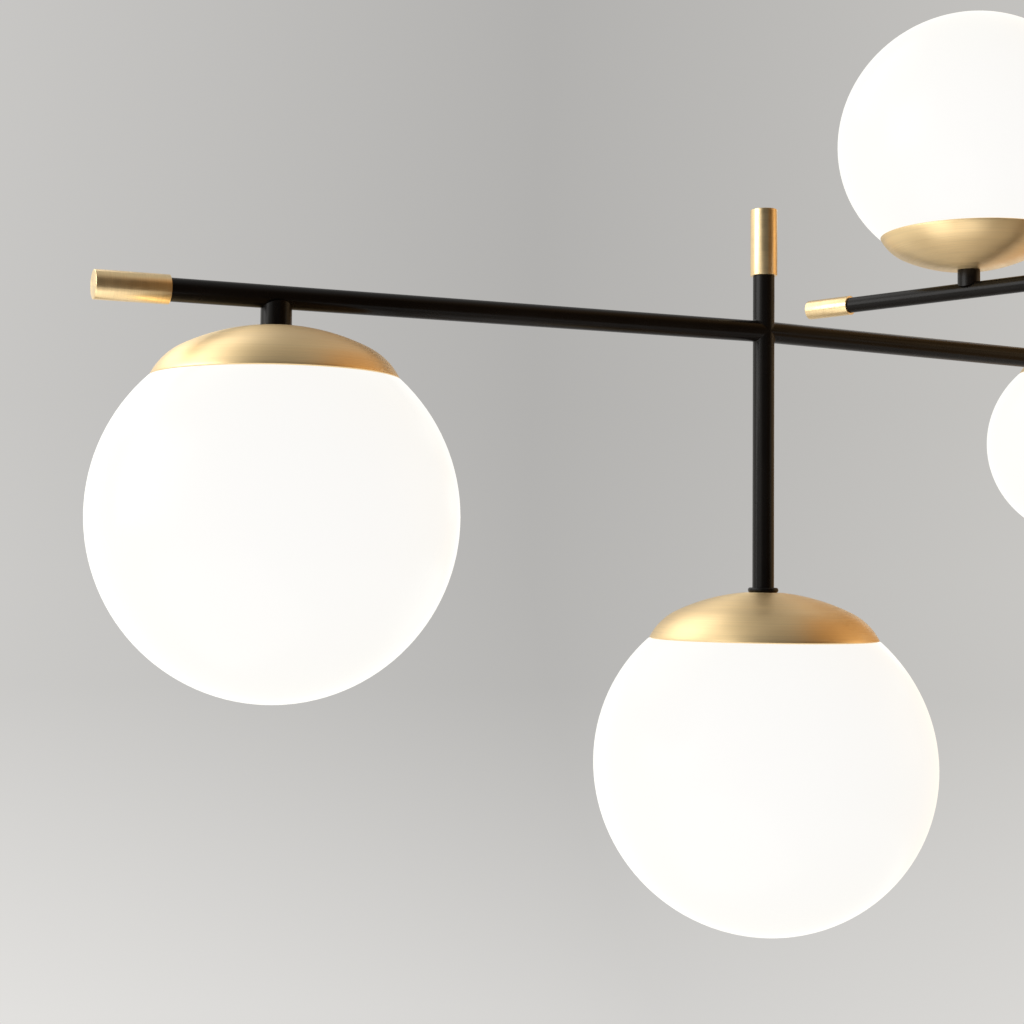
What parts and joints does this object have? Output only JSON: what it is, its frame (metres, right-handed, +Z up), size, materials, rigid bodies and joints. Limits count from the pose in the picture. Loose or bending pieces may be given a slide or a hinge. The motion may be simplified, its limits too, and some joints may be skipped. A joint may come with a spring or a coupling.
{
  "type": "branch chandelier",
  "caption": "Ceiling chandelier of black tubular arms that turn on one stem, with lit opal glass globes under and over brushed brass domes.",
  "frame": {"origin": "middle of the line between the ceiling bracket's two fixing slots, on the ceiling face", "axes": "+Z up out of the ceiling face, +X along the slots and along arm A's right side"},
  "size_m": [1.5127, 1.2836, 1.058],
  "materials": {
    "black_powder_coat": "satin",
    "brushed_brass": "brushed",
    "ring_brass": "plain",
    "opal_glass": "satin opal, lit",
    "plated_steel": "zinc plated",
    "holder_plastic": "matt",
    "lamp_plastic": "white, frosted",
    "block_plastic": "matt"
  },
  "bodies": {
    "ceiling_stem": {"ceiling_bracket": "plated_steel", "terminal_block": "block_plastic", "stem_locknuts": "plated_steel", "central_pipe": "plated_steel", "stem_sleeves": "black_powder_coat", "stem_finial": "brushed_brass"},
    "canopy": {"canopy_cup": "black_powder_coat", "canopy_grip": "brushed_brass", "canopy_grub_screw": "plated_steel"},
    "arm_a": {"arm_a_drop_rod": "black_powder_coat", "arm_a_end_caps": "brushed_brass", "arm_a_gallery_rings": "ring_brass", "arm_a_inner_tube": "black_powder_coat", "arm_a_locknuts": "plated_steel", "arm_a_nipples": "plated_steel", "arm_a_outer_tube": "black_powder_coat", "arm_a_right_tube": "black_powder_coat", "arm_a_stubs": "black_powder_coat", "hub_a": "black_powder_coat", "dome_cap_1": "brushed_brass", "lampholder_1": "holder_plastic", "lamp_1": "lamp_plastic", "dome_cap_2": "brushed_brass", "lampholder_2": "holder_plastic", "lamp_2": "lamp_plastic", "dome_cap_6": "brushed_brass", "lampholder_6": "holder_plastic", "lamp_6": "lamp_plastic"},
    "arm_b": {"arm_b_end_caps": "brushed_brass", "arm_b_gallery_rings": "ring_brass", "arm_b_locknuts": "plated_steel", "arm_b_long_tube": "black_powder_coat", "arm_b_nipples": "plated_steel", "arm_b_short_tube": "black_powder_coat", "arm_b_stubs": "black_powder_coat", "hub_b": "black_powder_coat", "dome_cap_3": "brushed_brass", "lampholder_3": "holder_plastic", "lamp_3": "lamp_plastic", "dome_cap_5": "brushed_brass", "lampholder_5": "holder_plastic", "lamp_5": "lamp_plastic"},
    "arm_c": {"arm_c_drop_rod": "black_powder_coat", "arm_c_end_caps": "brushed_brass", "arm_c_gallery_rings": "ring_brass", "arm_c_inner_tube": "black_powder_coat", "arm_c_locknuts": "plated_steel", "arm_c_nipples": "plated_steel", "arm_c_outer_tube": "black_powder_coat", "arm_c_tail_tube": "black_powder_coat", "hub_c": "black_powder_coat", "dome_cap_4": "brushed_brass", "lampholder_4": "holder_plastic", "lamp_4": "lamp_plastic"},
    "globe_1": {"glass_globe_1": "opal_glass"},
    "globe_2": {"glass_globe_2": "opal_glass"},
    "globe_3": {"glass_globe_3": "opal_glass"},
    "globe_4": {"glass_globe_4": "opal_glass"},
    "globe_5": {"glass_globe_5": "opal_glass"},
    "globe_6": {"glass_globe_6": "opal_glass"}
  },
  "joints": [
    {"name": "arm_a_swivel", "type": "hinge", "parent": "ceiling_stem", "child": "arm_a", "pos_m": [0, 0, -0.7], "axis": [0, 0, 1], "range_deg": [-30, 15]},
    {"name": "arm_b_swivel", "type": "hinge", "parent": "ceiling_stem", "child": "arm_b", "pos_m": [0, 0, -0.62], "axis": [0, 0, 1], "range_deg": [-10, 30]},
    {"name": "arm_c_swivel", "type": "hinge", "parent": "ceiling_stem", "child": "arm_c", "pos_m": [0, 0, -0.54], "axis": [0, 0, 1], "range_deg": [-12, 10]},
    {"name": "globe_1_twist", "type": "hinge", "parent": "arm_a", "child": "globe_1", "pos_m": [-0.69669, 0.03985, -0.81799], "axis": [0, 0, 1], "range_deg": [0, 45]},
    {"name": "globe_2_twist", "type": "hinge", "parent": "arm_a", "child": "globe_2", "pos_m": [-0.394, 0, -0.95799], "axis": [0, 0, 1], "range_deg": [0, 45]},
    {"name": "globe_3_twist", "type": "hinge", "parent": "arm_b", "child": "globe_3", "pos_m": [-0.04028, 0.17174, -0.50201], "axis": [0, 0, -1], "range_deg": [0, 45]},
    {"name": "globe_4_twist", "type": "hinge", "parent": "arm_c", "child": "globe_4", "pos_m": [0.41157, 0.43522, -0.70351], "axis": [0, 0, 1], "range_deg": [0, 45]},
    {"name": "globe_5_twist", "type": "hinge", "parent": "arm_b", "child": "globe_5", "pos_m": [0.15208, -0.6484, -0.73799], "axis": [0, 0, 1], "range_deg": [0, 45]},
    {"name": "globe_6_twist", "type": "hinge", "parent": "arm_a", "child": "globe_6", "pos_m": [0.568, 0, -0.58201], "axis": [0, 0, -1], "range_deg": [0, 45]},
    {"name": "canopy_slide", "type": "slide", "parent": "ceiling_stem", "child": "canopy", "axis": [0, 0, -1], "range_m": [0, 0.45]}
  ]
}
